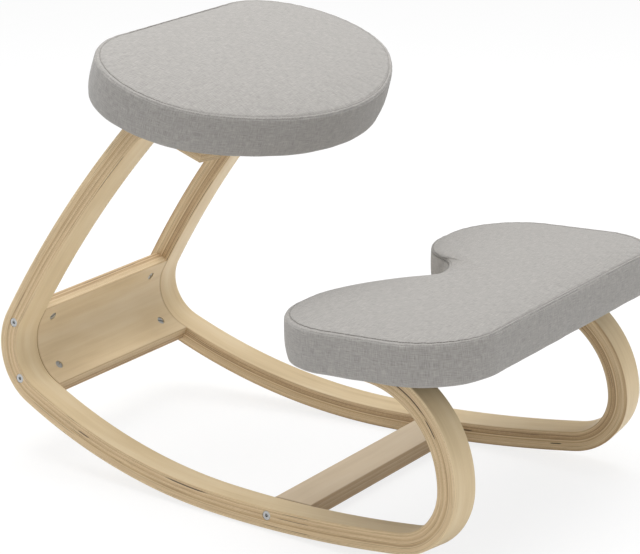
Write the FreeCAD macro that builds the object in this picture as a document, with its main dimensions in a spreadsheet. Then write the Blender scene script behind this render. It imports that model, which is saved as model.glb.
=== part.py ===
import FreeCAD, Part
import math
import os
import re
import Sketcher

# Rocking kneeling chair, in millimetres.
# X runs across the chair, +Y to the rear, +Z up, and the knee pad is at the front.
# The origin lies on the floor, in the middle of the chair's length and width.

Vector = FreeCAD.Vector
Placement = FreeCAD.Placement
Rotation = FreeCAD.Rotation

# Driving dimensions. Angles are in degrees, and radii are those of the strip's convex face.
SIZES = {
    # bent ply runners
    "strip_width": 37.5,
    "strip_thickness": 24.5,
    "strip_edge_radius": 1.5,
    "rocker_radius": 1590.0,
    "rocker_rear_turn": 1.2,
    "rocker_front_turn": 8.3,
    "tail_radius": 720.0,
    "tail_turn": 23.8,
    "rear_bend_radius": 75.0,
    "rear_bend_turn": 94.1,
    "leg_radius": 1380.0,
    "leg_turn": 12.7,
    "seat_bend_radius": 60.0,
    "seat_tilt_angle": 16.3,
    "seat_rail_length": 60.0,
    "front_bend_radius": 79.0,
    "front_bend_turn": 84.5,
    "upper_front_radius": 130.0,
    "knee_tilt_angle": -2.7,
    "knee_rail_length": 74.0,
    # how the two runners stand to each other
    "runner_gap": 313.0,
    "plan_splay_angle": 4.3,
    "side_lean_angle": 3.7,
    # curved rear plate
    "plate_thickness": 18.0,
    "plate_above_bend": 14.0,
    "plate_below_bend": 8.0,
    "upper_bolt_angle": 25.0,
    "lower_bolt_angle": -44.0,
    # flat crossbar between the rockers
    "crossbar_depth": 50.0,
    "crossbar_thickness": 18.0,
    "crossbar_setback": 53.0,
    "crossbar_bolt_offset": 7.0,
    "crossbar_dowel_offset": 13.0,
    # side bolts, their barrel nuts and the dowels
    "bolt_diameter": 6.0,
    "bolt_hole_diameter": 6.6,
    "bolt_head_diameter": 10.4,
    "bolt_head_height": 3.6,
    "bolt_socket_width": 4.0,
    "bolt_socket_depth": 2.2,
    "bolt_recess_diameter": 11.2,
    "bolt_recess_depth": 4.0,
    "bolt_tip": 9.0,
    "nut_inset": 24.0,
    "nut_diameter": 10.0,
    "nut_length": 14.0,
    "nut_sink": 0.3,
    "thread_clearance": 0.05,
    "fit_clearance": 0.1,
    "dowel_diameter": 8.0,
    "dowel_in_runner": 14.0,
    "dowel_in_bar": 18.0,
    # cushion bolts, up through the rails into tee nuts
    "rail_bolt_inset": 15.0,
    "rail_bolt_pitch": 30.0,
    "rail_recess_diameter": 18.0,
    "rail_recess_depth": 7.0,
    "rail_bolt_length": 30.0,
    "washer_diameter": 16.0,
    "washer_thickness": 1.4,
    "tee_flange_diameter": 19.0,
    "tee_flange_thickness": 1.5,
    "tee_barrel_diameter": 8.0,
    "tee_barrel_length": 9.0,
    # cushions
    "cushion_side_height": 44.0,
    "board_thickness": 12.0,
    "board_inset": 6.0,
    "cover_thickness": 1.2,
    "cloth_thickness": 0.8,
    "bottom_tuck": 3.0,
    "seam_tuck": 1.0,
    "seat_crown": 13.0,
    "seat_half_width": 217.0,
    "seat_front": 130.0,
    "seat_rear": 130.0,
    "seat_side_radius": 110.0,
    "seat_ahead_of_bend": 7.0,
    "knee_crown": 12.0,
    "knee_half_width": 250.0,
    "knee_front": 105.0,
    "knee_rear": 147.0,
    "knee_corner_radius": 86.0,
    "knee_lobe_radius": 100.0,
    "knee_notch_depth": 81.0,
    "knee_lobe_straight": 19.0,
    "knee_ahead_of_bend": 49.0,
}

doc = FreeCAD.newDocument("KneelingChair")
sheet = doc.addObject("Spreadsheet::Sheet", "Sizes")
for row, (name, value) in enumerate(SIZES.items(), 1):
    sheet.set(f"A{row}", name)
    sheet.set(f"B{row}", str(value))
    sheet.setAlias(f"B{row}", name)
doc.recompute()


def size(name):
    """Read one driving dimension from the sheet."""
    return float(sheet.get(name))


def bind(item, **expressions):
    """Bind properties to the sheet: every size name is given its sheet's name."""
    for prop, text in expressions.items():
        item.setExpression(prop, in_sheet(text))
    return item


def in_sheet(text):
    """Write the size names of an expression as cells of the sheet."""
    return re.sub(r"[a-z_]+", lambda word: ("Sizes." if word[0] in SIZES else "") + word[0], text)


# Plain shapes

def cylinder(label, radius, height, place):
    item = doc.addObject("Part::Cylinder", label)
    bind(item, Radius=radius, Height=height)
    item.Placement = place
    return item


def box(label, length, width, height, place):
    item = doc.addObject("Part::Box", label)
    bind(item, Length=length, Width=width, Height=height)
    item.Placement = place
    return item


def hexagon(label, width, height, place):
    item = doc.addObject("Part::Prism", label)
    item.Polygon = 6
    bind(item, Circumradius=f"{width} / 1.7320508", Height=height)
    item.Placement = place
    return item


def group(label, members):
    item = doc.addObject("Part::Compound", label)
    item.Links = members
    return item


def fuse(label, members):
    item = doc.addObject("Part::MultiFuse", label)
    item.Shapes = members
    return item


def cut(label, base, tools):
    item = doc.addObject("Part::Cut", label)
    item.Base = base
    item.Tool = tools[0] if len(tools) == 1 else fuse(label + "_tools", tools)
    return item


def mirror(label, source):
    item = doc.addObject("Part::Mirroring", label)
    item.Source = source
    item.Normal = Vector(1, 0, 0)
    return item


def both_sides(label, right_members):
    """Group the right side's solids with their mirror images."""
    right = group(label + "_right", right_members)
    return group(label, [right, mirror(label + "_left", right)])


def solid_feature(label, shape):
    item = doc.addObject("Part::Feature", label)
    item.Shape = shape
    return item


# Side view of a runner: points are (y, z), headings are in degrees from +Y towards +Z

def along(heading):
    angle = math.radians(heading)
    return Vector(math.cos(angle), math.sin(angle), 0)


def heading_of(direction):
    return math.degrees(math.atan2(direction.y, direction.x))


def follow_arc(point, heading, radius, turn):
    """Follow an arc from a point. A positive turn bends to the left of the heading."""
    side = math.copysign(1, turn)
    centre = point + along(heading + 90 * side) * radius
    end = centre - along(heading + turn + 90 * side) * radius
    return {"start": point, "end": end, "centre": centre, "radius": radius, "heading": heading + turn}


def follow_line(point, heading, length):
    return {"start": point, "end": point + along(heading) * length, "centre": None, "heading": heading}


def chain(heading, steps):
    """Follow steps one after the other from the point that touches the floor."""
    pieces = []
    point = Vector(0, 0, 0)
    for kind, *values in steps:
        piece = kind(point, heading, *values)
        pieces.append(piece)
        point = piece["end"]
        heading = piece["heading"]
    return pieces


rear_turns = size("rocker_rear_turn") + size("tail_turn") + size("rear_bend_turn") + size("leg_turn")
front_turns = size("rocker_front_turn") + size("front_bend_turn")
rear_rocker, tail, rear_bend, leg, seat_bend, seat_rail = chain(0, [
    (follow_arc, size("rocker_radius"), size("rocker_rear_turn")),
    (follow_arc, size("tail_radius"), size("tail_turn")),
    (follow_arc, size("rear_bend_radius"), size("rear_bend_turn")),
    (follow_arc, size("leg_radius"), size("leg_turn")),
    (follow_arc, size("seat_bend_radius"), 180 + size("seat_tilt_angle") - rear_turns),
    (follow_line, size("seat_rail_length")),
])
front_rocker, front_bend, upper_front, knee_rail = chain(180, [
    (follow_arc, size("rocker_radius"), -size("rocker_front_turn")),
    (follow_arc, size("front_bend_radius"), -size("front_bend_turn")),
    (follow_arc, size("upper_front_radius"), size("knee_tilt_angle") + front_turns - 180),
    (follow_line, size("knee_rail_length")),
])

# The right runner's own space has x = 0 on its inner face. It leans out to the top, and splays to the front
lean = math.radians(size("side_lean_angle"))
splay = math.radians(size("plan_splay_angle"))
edge = size("strip_edge_radius")
lift = -edge * (math.sin(lean) + math.cos(lean) - 1)
splay_turn = Rotation(Vector(0, 0, 1), size("plan_splay_angle"))
lean_turn = Rotation(Vector(0, 1, 0), -size("side_lean_angle"))
runner_place = Placement(Vector(size("runner_gap") / 2, 0, lift), splay_turn * lean_turn)
side_view = Placement(Vector(), Rotation(Vector(1, 1, 1), 120))


def on_runner(x, point, rotation=Rotation()):
    """Place something in the right runner's own space."""
    return runner_place * Placement(Vector(x, point.x, point.y), rotation)


def cushion_place(rail, tilt, ahead):
    """The cushion's underside lies on the lowest edge of the rail's top."""
    turn = Rotation(Vector(1, 0, 0), tilt)
    normal = turn.multVec(Vector(0, 0, 1))
    corners = [runner_place.multVec(Vector(x, p.x, p.y)) for x in (0, size("strip_width"))
               for p in (rail["start"], rail["end"])]
    level = min(corner.dot(normal) for corner in corners)
    middle = runner_place.multVec(Vector(0, rail["start"].x, rail["start"].y))
    middle = middle + turn.multVec(Vector(0, 1, 0)) * ahead
    middle.x = 0
    return Placement(middle + normal * (level - middle.dot(normal)), turn)


seat_place = cushion_place(seat_rail, size("seat_tilt_angle"), -size("seat_ahead_of_bend"))
knee_place = cushion_place(knee_rail, size("knee_tilt_angle"), -size("knee_ahead_of_bend"))

# Move everything along Y, so that the origin comes to the middle of the length
swell = 0.45
rear_centre = rear_bend["centre"]
rear_edge = runner_place.multVec(Vector(size("strip_width") - edge, rear_centre.x, rear_centre.y))
tipped = math.sin(lean) * math.sin(splay)
rear_end = rear_edge.y + (size("rear_bend_radius") - edge) * math.hypot(math.cos(splay), tipped) + edge
front_end = knee_place.multVec(Vector(0, -size("knee_front"), size("cushion_side_height") * swell)).y
centring = Placement(Vector(0, -(rear_end + front_end) / 2, 0), Rotation())
runner_place = centring * runner_place
seat_place = centring * seat_place
knee_place = centring * knee_place


# Sketches of tangent arcs

def add_piece(sketch, piece):
    """Add a line or an arc, and return its number with the ends that come first and last."""
    if piece["centre"] is None:
        number = sketch.addGeometry(Part.LineSegment(piece["start"], piece["end"]))
        return number, 1, 2
    circle = Part.Circle(piece["centre"], Vector(0, 0, 1), piece["radius"])
    ends = [math.radians(heading_of(point - piece["centre"])) for point in (piece["start"], piece["end"])]
    turn = (ends[1] - ends[0]) % (2 * math.pi)
    if turn < math.pi:
        number = sketch.addGeometry(Part.ArcOfCircle(circle, ends[0], ends[0] + turn))
        return number, 1, 2
    number = sketch.addGeometry(Part.ArcOfCircle(circle, ends[1], ends[1] + 2 * math.pi - turn))
    return number, 2, 1


def constrain(sketch, kind, *values, to=None):
    """Add a constraint, bound to the sheet where an expression is given."""
    number = sketch.addConstraint(Sketcher.Constraint(kind, *values))
    if to:
        sketch.setExpression(f"Constraints[{number}]", in_sheet(to))
    return number


def reverse(piece):
    return dict(piece, start=piece["end"], end=piece["start"])


def tangent_chain(sketch, pieces):
    """Add pieces in order, each tangent to the one before it."""
    added = [add_piece(sketch, piece) for piece in pieces]
    for (one, _, last), (two, first, _) in zip(added, added[1:]):
        constrain(sketch, "Tangent", one, last, two, first)
    return added


# Runner path: from the free end under the seat, down, along the floor and up to the knee pad
path = doc.addObject("Sketcher::SketchObject", "runner_path")
rocker = dict(front_rocker, start=rear_rocker["end"])
pieces = [reverse(p) for p in (seat_rail, seat_bend, leg, rear_bend, tail)]
numbers = tangent_chain(path, pieces + [rocker, front_bend, upper_front, knee_rail])
seat_line, seat_arc, leg_arc, rear_arc, tail_arc, rocker_arc, front_arc, upper_arc, knee_line = numbers
radii = ((seat_arc, "seat_bend_radius"), (leg_arc, "leg_radius"), (rear_arc, "rear_bend_radius"),
         (tail_arc, "tail_radius"), (rocker_arc, "rocker_radius"), (front_arc, "front_bend_radius"),
         (upper_arc, "upper_front_radius"))
for arc, name in radii:
    constrain(path, "Radius", arc[0], size(name), to=name)
turns = ((leg_arc, "leg_turn"), (rear_arc, "rear_bend_turn"), (tail_arc, "tail_turn"),
         (front_arc, "front_bend_turn"))
for arc, name in turns:
    constrain(path, "Angle", arc[0], math.radians(size(name)), to=f"{name} * 1 deg")
for line, name in ((seat_line, "seat_rail_length"), (knee_line, "knee_rail_length")):
    constrain(path, "Distance", line[0], size(name), to=name)
for line, name in ((seat_line, "seat_tilt_angle"), (knee_line, "knee_tilt_angle")):
    constrain(path, "Angle", line[0], math.radians(size(name)), to=f"{name} * 1 deg")
constrain(path, "PointOnObject", rocker_arc[0], 3, -2)
constrain(path, "DistanceY", -1, 1, rocker_arc[0], 3, size("rocker_radius"), to="rocker_radius")
constrain(path, "DistanceX", -1, 1, rocker_arc[0], rocker_arc[1], rocker["start"].x,
          to="rocker_radius * sin(rocker_rear_turn * 1 deg)")
constrain(path, "DistanceX", rocker_arc[0], rocker_arc[2], -1, 1, -rocker["end"].x,
          to="rocker_radius * sin(rocker_front_turn * 1 deg)")
path.Placement = runner_place * side_view
doc.recompute()


def strip(label, source, thickness, width, direction):
    """Thicken a path to one side, and give it a width."""
    face = doc.addObject("Part::Offset2D", label + "_section")
    face.Source = source
    face.Mode = "Skin"
    face.Fill = True
    bind(face, Value=thickness)
    body = doc.addObject("Part::Extrusion", label)
    body.Base = face
    body.DirMode = "Custom"
    body.Dir = direction
    bind(body, LengthFwd=width)
    body.Solid = True
    return body


across = runner_place.Rotation.multVec(Vector(1, 0, 0))
bent_strip = strip("bent_strip", path, "strip_thickness", "strip_width", across)
doc.recompute()


def eased(label, body, inner_face, outer_face):
    """Round the edges that lie in the two side faces."""
    item = doc.addObject("Part::Fillet", label)
    item.Base = body
    chosen = []
    for number, line in enumerate(body.Shape.Edges, 1):
        offsets = [(p - inner_face).dot(across) for p in (v.Point for v in line.Vertexes)]
        on_inner = all(abs(offset) < 0.01 for offset in offsets)
        on_outer = all(abs(offset - size("strip_width")) < 0.01 for offset in offsets)
        if on_inner or on_outer:
            chosen.append((number, edge, edge))
    item.Edges = chosen
    return item


eased_strip = eased("eased_strip", bent_strip, runner_place.Base, across)

# Side bolts: places are on the bolt's axis, at the runner's inner face
plate_middle = size("rear_bend_radius") - size("strip_thickness") + size("plate_thickness") / 2
plate_bolts = [("upper_plate_bolt", "upper_bolt_angle"), ("lower_plate_bolt", "lower_bolt_angle")]
bar_slope = -math.degrees(math.asin(size("crossbar_setback") / size("rocker_radius")))
rocker_centre = Vector(0, size("rocker_radius"), 0)
bar_top = rocker_centre - along(90 + bar_slope) * (size("rocker_radius") - size("strip_thickness"))
bar_middle = bar_top - along(90 + bar_slope) * size("crossbar_thickness") / 2
head_way = Rotation(Vector(0, 1, 0), -90)


def side_bolt(label, point):
    """A socket-head bolt that goes in from the runner's outer face."""
    seat = on_runner(size("strip_width") - size("bolt_recess_depth"), point, head_way)
    shank = cylinder(label + "_shank", "bolt_diameter / 2",
                     "strip_width - bolt_recess_depth + nut_inset + bolt_tip", seat)
    head_place = seat * Placement(Vector(0, 0, -size("bolt_head_height")), Rotation())
    head = cylinder(label + "_head", "bolt_head_diameter / 2", "bolt_head_height", head_place)
    socket = hexagon(label + "_socket", "bolt_socket_width", "bolt_socket_depth", head_place)
    return cut(label, fuse(label + "_body", [shank, head]), [socket])


def side_bolt_hole(label, point):
    """The recess for the head and the hole for the shank."""
    outside = on_runner(size("strip_width") + 1, point, head_way)
    recess = cylinder(label + "_recess", "bolt_recess_diameter / 2", "bolt_recess_depth + 1", outside)
    hole = cylinder(label + "_hole", "bolt_hole_diameter / 2", "strip_width + nut_inset + bolt_tip + 2",
                    outside)
    return fuse(label, [recess, hole])


def barrel_nut(label, face_point, inward, bolt_point):
    """A cross-dowel nut, sunk a little below the face that its hole is drilled from."""
    start = on_runner(-size("nut_inset"), face_point + inward * size("nut_sink"), turn_to(inward))
    body = cylinder(label + "_barrel", "nut_diameter / 2", "nut_length", start)
    thread_start = on_runner(-size("nut_inset") + size("nut_diameter"), bolt_point, head_way)
    thread = cylinder(label + "_thread", "bolt_diameter / 2 + thread_clearance", "nut_diameter * 2",
                      thread_start)
    return cut(label, body, [thread])


def barrel_nut_hole(label, face_point, inward):
    start = on_runner(-size("nut_inset"), face_point - inward, turn_to(inward))
    return cylinder(label, "nut_diameter / 2 + fit_clearance", "nut_length + 2 * nut_sink + 1", start)


def turn_to(direction):
    """Turn a cylinder's axis into a direction of the runner's side view."""
    return Rotation(Vector(0, 0, 1), Vector(0, direction.x, direction.y))


# Curved rear plate, flush with the runners' hollow face
hollow = {name: size(name + "_radius") - size("strip_thickness") for name in ("leg", "rear_bend", "tail")}
bend_start = size("rocker_rear_turn") + size("tail_turn")
bend_end = bend_start + size("rear_bend_turn")
plate_start = {"start": along(bend_start - 90) * hollow["rear_bend"], "heading": bend_start}
plate_bend = follow_arc(plate_start["start"], bend_start, hollow["rear_bend"], size("rear_bend_turn"))
plate_upper = follow_arc(plate_bend["end"], bend_end, hollow["leg"],
                         math.degrees(size("plate_above_bend") / hollow["leg"]))
plate_lower = follow_arc(plate_start["start"], bend_start + 180, hollow["tail"],
                         -math.degrees(size("plate_below_bend") / hollow["tail"]))
plate_path = doc.addObject("Sketcher::SketchObject", "plate_path")
upper_piece, bend_piece, lower_piece = tangent_chain(plate_path, [reverse(plate_upper), reverse(plate_bend),
                                                                 plate_lower])
hollow_radii = ((upper_piece, "leg"), (bend_piece, "rear_bend"), (lower_piece, "tail"))
for piece, name in hollow_radii:
    constrain(plate_path, "Radius", piece[0], hollow[name], to=f"{name}_radius - strip_thickness")
constrain(plate_path, "Coincident", bend_piece[0], 3, -1, 1)
constrain(plate_path, "Angle", bend_piece[0], math.radians(size("rear_bend_turn")),
          to="rear_bend_turn * 1 deg")
constrain(plate_path, "DistanceX", -1, 1, bend_piece[0], bend_piece[2], plate_start["start"].x,
          to="(rear_bend_radius - strip_thickness) * sin((rocker_rear_turn + tail_turn) * 1 deg)")
constrain(plate_path, "Angle", upper_piece[0], size("plate_above_bend") / hollow["leg"],
          to="plate_above_bend / (leg_radius - strip_thickness) * 1 rad")
constrain(plate_path, "Angle", lower_piece[0], size("plate_below_bend") / hollow["tail"],
          to="plate_below_bend / (tail_radius - strip_thickness) * 1 rad")
bend_centre = runner_place.multVec(Vector(0, rear_bend["centre"].x, rear_bend["centre"].y))
blank_half = size("runner_gap") / 2 + size("strip_width")
plate_path.Placement = Placement(Vector(-blank_half, bend_centre.y, bend_centre.z), Rotation()) * side_view
plate_blank = strip("plate_blank", plate_path, "plate_thickness", "runner_gap + 2 * strip_width",
                    Vector(1, 0, 0))

# The space beyond a runner's inner face, cut from the plate and the crossbar
reach = "rocker_radius / 2"
runner_side = box("runner_side", "strip_width * 4", reach, reach,
                  on_runner(0, Vector(-size("rocker_radius"), -size("rocker_radius"), 0) / 4))
other_side = mirror("other_side", runner_side)

plate_holes = []
runner_holes = []
plate_bolt_solids = []
plate_nut_solids = []
for label, angle_name in plate_bolts:
    outward = along(size(angle_name))
    hollow_point = rear_bend["centre"] + outward * hollow["rear_bend"]
    bolt_point = rear_bend["centre"] + outward * plate_middle
    plate_bolt_solids.append(side_bolt(label, bolt_point))
    runner_holes.append(side_bolt_hole(label + "_way", bolt_point))
    plate_holes.append(side_bolt_hole(label + "_way_in_plate", bolt_point))
    plate_holes.append(barrel_nut_hole(label + "_nut_hole", hollow_point, outward))
    plate_nut_solids.append(barrel_nut(label + "_nut", hollow_point, outward, bolt_point))
rear_plate = cut("rear_plate", plate_blank, [runner_side, other_side] + plate_holes
                 + [mirror(item.Label + "_left", item) for item in plate_holes])
rear_plate_bolts = both_sides("rear_plate_bolts", plate_bolt_solids)
rear_plate_barrel_nuts = both_sides("rear_plate_barrel_nuts", plate_nut_solids)

# Flat crossbar, with its top flush with the rockers
up = along(90 + bar_slope)
rearward = along(bar_slope)
bar_bolt_point = bar_middle + rearward * size("crossbar_bolt_offset")
bar_dowel_point = bar_middle - rearward * size("crossbar_dowel_offset")
bar_underside = bar_bolt_point - up * size("crossbar_thickness") / 2
bar_corner = bar_top - rearward * size("crossbar_depth") / 2 - up * size("crossbar_thickness")
bar_start = runner_place.multVec(Vector(0, bar_corner.x, bar_corner.y))
bar_place = Placement(Vector(-blank_half, bar_start.y, bar_start.z), Rotation(Vector(1, 0, 0), bar_slope))
bar_blank = box("crossbar_blank", "runner_gap + 2 * strip_width", "crossbar_depth", "crossbar_thickness",
                bar_place)
crossbar_bolt = side_bolt("crossbar_bolt", bar_bolt_point)
crossbar_nut = barrel_nut("crossbar_nut", bar_underside, up, bar_bolt_point)
dowel_start = on_runner(size("dowel_in_runner"), bar_dowel_point, head_way)
crossbar_dowel = cylinder("crossbar_dowel", "dowel_diameter / 2", "dowel_in_runner + dowel_in_bar",
                          dowel_start)
dowel_hole_start = on_runner(size("dowel_in_runner") + size("fit_clearance"), bar_dowel_point, head_way)
dowel_hole = cylinder("dowel_hole", "dowel_diameter / 2 + fit_clearance",
                      "dowel_in_runner + dowel_in_bar + 2 * fit_clearance", dowel_hole_start)
bar_holes = [side_bolt_hole("crossbar_bolt_way_in_bar", bar_bolt_point),
             barrel_nut_hole("crossbar_nut_hole", bar_underside, up), dowel_hole]
front_crossbar = cut("front_crossbar", bar_blank, [runner_side, other_side] + bar_holes
                     + [mirror(item.Label + "_left", item) for item in bar_holes])
crossbar_bolts = both_sides("crossbar_bolts", [crossbar_bolt])
crossbar_barrel_nuts = both_sides("crossbar_barrel_nuts", [crossbar_nut])
crossbar_dowels = both_sides("crossbar_dowels", [crossbar_dowel])
runner_holes.append(side_bolt_hole("crossbar_bolt_way", bar_bolt_point))
runner_holes.append(dowel_hole)


# Cushions: outlines are wires in the cushion's own space, with +Y to the rear

def arc(centre, radius, first, last):
    """An arc of an outline, between two headings from its centre."""
    points = [centre + along(angle) * radius for angle in (first, (first + last) / 2, last)]
    return Part.Arc(*points).toShape()


def closed(edges):
    """Close an outline of tangent arcs with straight edges where they leave a gap."""
    wire = []
    for number, piece in enumerate(edges):
        wire.append(piece)
        after = edges[(number + 1) % len(edges)]
        gap_start = piece.valueAt(piece.LastParameter)
        gap_end = after.valueAt(after.FirstParameter)
        if (gap_end - gap_start).Length > 1e-4:
            wire.append(Part.LineSegment(gap_start, gap_end).toShape())
    return Part.Wire(wire)


def seat_outline(inset):
    """A wide pad: a bowed front, round sides and a straight rear."""
    half = size("seat_half_width") - inset
    front = size("seat_front") - inset
    rear = size("seat_rear") - inset
    side = size("seat_side_radius") - inset
    side_centre = Vector(half - side, rear - side, 0)
    reach = side_centre.y + front
    bow = (side_centre.x ** 2 + reach ** 2 - side ** 2) / (2 * (reach - side))
    bow_centre = Vector(0, bow - front, 0)
    touch = heading_of(side_centre - bow_centre)
    left_centre = Vector(-side_centre.x, side_centre.y, 0)
    return closed([
        arc(bow_centre, bow, -180 - touch, touch),
        arc(side_centre, side, touch, 90),
        arc(left_centre, side, 90, 180 - touch),
    ])


def knee_outline(inset):
    """A kidney-shaped pad: a straight front and two lobes, with a notch of tangent arcs between them."""
    lobe_x = size("knee_half_width") - size("knee_corner_radius") - size("knee_lobe_straight")
    between = (lobe_x ** 2 + size("knee_notch_depth") ** 2) / (2 * size("knee_notch_depth"))
    notch = between - size("knee_lobe_radius") + inset
    half = size("knee_half_width") - inset
    front = size("knee_front") - inset
    rear = size("knee_rear") - inset
    corner = size("knee_corner_radius") - inset
    lobe = size("knee_lobe_radius") - inset
    notch_centre = Vector(0, rear - size("knee_notch_depth") + notch, 0)
    lobe_y = rear - lobe
    touch = heading_of(notch_centre - Vector(lobe_x, lobe_y, 0))
    corner_x = half - corner
    return closed([
        arc(Vector(corner_x, corner - front, 0), corner, -90, 0),
        arc(Vector(corner_x, rear - corner, 0), corner, 0, 90),
        arc(Vector(lobe_x, lobe_y, 0), lobe, 90, touch),
        arc(notch_centre, notch, touch - 180, -touch),
        arc(Vector(-lobe_x, lobe_y, 0), lobe, 180 - touch, 90),
        arc(Vector(-corner_x, rear - corner, 0), corner, 90, 180),
        arc(Vector(-corner_x, corner - front, 0), corner, 180, 270),
    ])


def at_height(wire, height, scale=1.0):
    """Copy an outline to a height, drawn in towards its middle by a scale."""
    edges = []
    for piece in wire.Edges:
        ends = (piece.FirstParameter, (piece.FirstParameter + piece.LastParameter) / 2, piece.LastParameter)
        points = [piece.valueAt(end) * scale + Vector(0, 0, height) for end in ends]
        straight = isinstance(piece.Curve, Part.Line)
        curve = Part.LineSegment(points[0], points[2]) if straight else Part.Arc(*points)
        edges.append(curve.toShape())
    return Part.Wire(edges)


def pad_form(outline, inset, seam_height, crown):
    """A cushion's form: sides drawn in at the bottom and at the seam, and a crowned top."""
    bottom = outline(inset + size("bottom_tuck"))
    middle = outline(inset)
    seam = outline(inset + size("seam_tuck"))
    sides = Part.makeLoft([at_height(bottom, 0), at_height(middle, seam_height * swell),
                           at_height(seam, seam_height)], True, False)
    levels = [(scale, crown * (1 - scale ** 2) ** 0.6) for scale in (1.0, 0.96, 0.85, 0.6, 0.3)]
    top = Part.makeLoft([at_height(seam, seam_height + rise, scale) for scale, rise in levels], True, False)
    return sides.fuse(top)


def slab(outline, inset, low, high):
    face = Part.Face(at_height(outline(inset), low))
    return face.extrude(Vector(0, 0, high - low))


def round_bar(point, radius, low, high):
    return Part.makeCylinder(radius, high - low, Vector(point.x, point.y, low))


def cushion(name, outline, crown, place, bolt_points):
    """Board, foam, cover and underside cloth of one cushion, each a solid of its own."""
    seam_height = size("cushion_side_height")
    cover = size("cover_thickness")
    cloth = size("cloth_thickness")
    board_top = cloth + size("board_thickness")
    outer = pad_form(outline, 0, seam_height, crown)
    inner = pad_form(outline, cover, seam_height - cover / 2, crown - cover / 2)
    hole = size("bolt_hole_diameter") / 2
    flange = size("tee_flange_diameter") / 2 + size("fit_clearance")
    barrel = size("tee_barrel_diameter") / 2 + size("fit_clearance")
    flange_low = board_top - size("tee_flange_thickness")
    barrel_low = flange_low - size("tee_barrel_length") - size("fit_clearance")
    board = slab(outline, size("board_inset"), cloth, board_top)
    room = slab(outline, size("board_inset"), -1, board_top)
    holes = []
    for point in bolt_points:
        holes += [round_bar(point, hole, -1, board_top), round_bar(point, barrel, barrel_low, board_top),
                  round_bar(point, flange, flange_low, board_top + 1)]
    board = board.cut(Part.makeCompound(holes))
    way = Part.makeCompound([round_bar(point, hole, -1, board_top) for point in bolt_points])
    below = slab(outline, -10, -1, cloth)
    cloth_shape = inner.common(slab(outline, -10, 0, cloth)).cut(way)
    foam = inner.cut(below).cut(room)
    nodes = {
        name + "_board": board,
        name + "_foam": foam,
        name + "_cover": outer.cut(inner),
        name + "_underside_cloth": cloth_shape,
    }
    items = {}
    for label, shape in nodes.items():
        solids = shape.Solids
        items[label] = solid_feature(label, solids[0] if len(solids) == 1 else shape)
        items[label].Placement = place
    return items


def rail_points(rail, place):
    """Bolt places on the right rail, in the cushion's own space."""
    heading = (rail["start"] - rail["end"]).normalize()
    points = []
    for number in range(2):
        spot = rail["end"] + heading * (size("rail_bolt_inset") + number * size("rail_bolt_pitch"))
        world = runner_place.multVec(Vector(size("strip_width") / 2, spot.x, spot.y))
        local = place.inverse().multVec(world)
        points.append(Vector(local.x, local.y, 0))
    return points


def mirrored(points):
    return points + [Vector(-p.x, p.y, p.z) for p in points]


def rail_fasteners(name, place, points):
    """Bolts, washers and tee nuts that hold a cushion on its rails."""
    recess_floor = size("rail_recess_depth") - size("strip_thickness")
    washer_low = recess_floor - size("washer_thickness")
    board_top = size("cloth_thickness") + size("board_thickness")
    bolts, washers, nuts = [], [], []
    for number, point in enumerate(points, 1):
        tag = f"{name}_{number}"
        head_at = place * Placement(Vector(point.x, point.y, washer_low), Rotation())
        head_low = head_at * Placement(Vector(0, 0, -size("bolt_head_height")), Rotation())
        shank = cylinder(tag + "_shank", "bolt_diameter / 2", "rail_bolt_length", head_at)
        head = cylinder(tag + "_head", "bolt_head_diameter / 2", "bolt_head_height", head_low)
        socket = hexagon(tag + "_socket", "bolt_socket_width", "bolt_socket_depth", head_low)
        bolts.append(cut(tag + "_bolt", fuse(tag + "_bolt_body", [shank, head]), [socket]))
        disc = cylinder(tag + "_disc", "washer_diameter / 2", "washer_thickness", head_at)
        disc_hole = cylinder(tag + "_disc_hole", "bolt_hole_diameter / 2", "washer_thickness", head_at)
        washers.append(cut(tag + "_washer", disc, [disc_hole]))
        flange_at = place * Placement(Vector(point.x, point.y, board_top - size("tee_flange_thickness")), Rotation())
        barrel_at = flange_at * Placement(Vector(0, 0, -size("tee_barrel_length")), Rotation())
        flange = cylinder(tag + "_flange", "tee_flange_diameter / 2", "tee_flange_thickness", flange_at)
        barrel = cylinder(tag + "_barrel", "tee_barrel_diameter / 2", "tee_barrel_length", barrel_at)
        thread = cylinder(tag + "_tee_thread", "bolt_diameter / 2 + thread_clearance",
                          "tee_barrel_length + tee_flange_thickness", barrel_at)
        nuts.append(cut(tag + "_tee_nut", fuse(tag + "_tee_body", [flange, barrel]), [thread]))
    return {name + "_bolts": bolts, name + "_washers": washers, name + "_tee_nuts": nuts}


def rail_cutters(name, place, points):
    """Plane the rail's top to the cushion, and drill and recess it for the bolts."""
    recess_floor = size("rail_recess_depth") - size("strip_thickness")
    tools = [box(name + "_plane", "strip_width * 4", "seat_rail_length * 6", "strip_thickness",
                 place * Placement(Vector(size("runner_gap") / 4, -3 * size("seat_rail_length"), 0), Rotation()))]
    for number, point in enumerate(points, 1):
        spot = place * Placement(Vector(point.x, point.y, recess_floor), Rotation())
        below = spot * Placement(Vector(0, 0, -size("rail_recess_depth") * 2), Rotation())
        tools.append(cylinder(f"{name}_recess_{number}", "rail_recess_diameter / 2", "rail_recess_depth * 2", below))
        tools.append(cylinder(f"{name}_hole_{number}", "bolt_hole_diameter / 2", "strip_thickness * 2", below))
    return tools


seat_points = rail_points(seat_rail, seat_place)
knee_points = rail_points(knee_rail, knee_place)
nodes = {}
nodes.update(cushion("seat", seat_outline, size("seat_crown"), seat_place, mirrored(seat_points)))
nodes.update(cushion("knee", knee_outline, size("knee_crown"), knee_place, mirrored(knee_points)))
for name, place, points in (("seat", seat_place, seat_points), ("knee", knee_place, knee_points)):
    for label, members in rail_fasteners(name, place, points).items():
        nodes[label] = both_sides(label, members)
    runner_holes += rail_cutters(name, place, points)

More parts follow.
